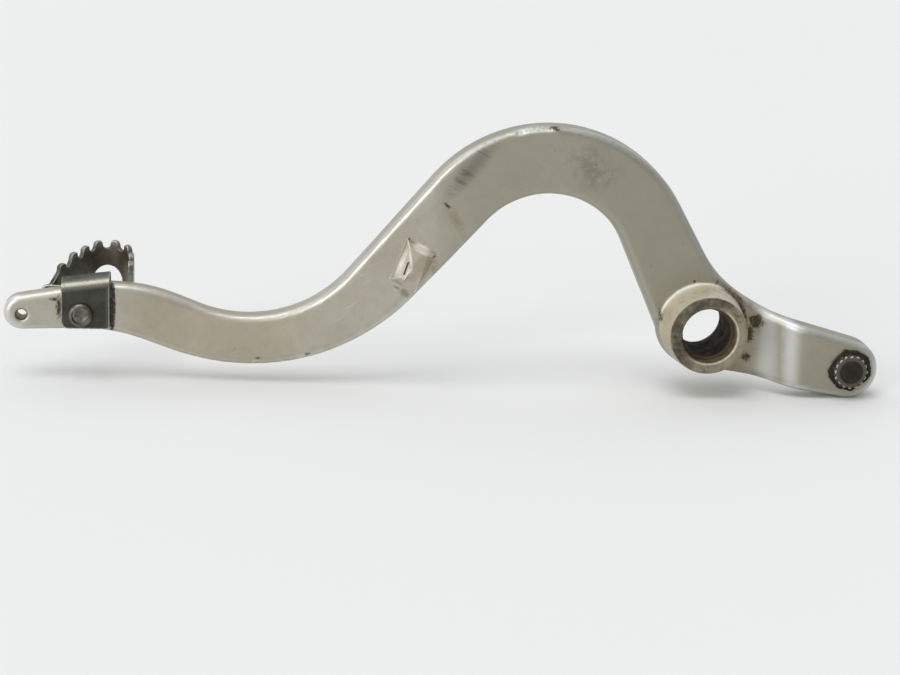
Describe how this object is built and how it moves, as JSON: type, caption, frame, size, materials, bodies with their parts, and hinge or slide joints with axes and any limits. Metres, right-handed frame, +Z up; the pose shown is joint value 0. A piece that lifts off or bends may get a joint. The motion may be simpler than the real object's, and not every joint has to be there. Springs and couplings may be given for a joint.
{
  "type": "rear brake pedal",
  "caption": "Motorbike rear brake pedal: an arched forged lever with a bushed pivot boss, a toothed toe tread riveted to its front end and a push-rod pin at its rear eye.",
  "frame": {"origin": "centre of the pivot bore, half way along the boss", "axes": "+Y along the pivot bore to the outer side with the tread, +X to the rear eye, -X to the toe, +Z up"},
  "size_m": [0.3225, 0.0533, 0.0985],
  "materials": {
    "alloy": "satin forged alloy, worn and scuffed",
    "bush_steel": "dark and dirty",
    "toe_steel": "dark worn steel sheet",
    "rivet_steel": "dull steel",
    "pin_steel": "near-black steel"
  },
  "bodies": {
    "root": {"lever_forging": "alloy", "pivot_bush": "bush_steel", "toe_saddle": "toe_steel", "toe_tread": "toe_steel", "toe_rivet": "rivet_steel", "push_rod_pin": "pin_steel"}
  },
  "joints": []
}
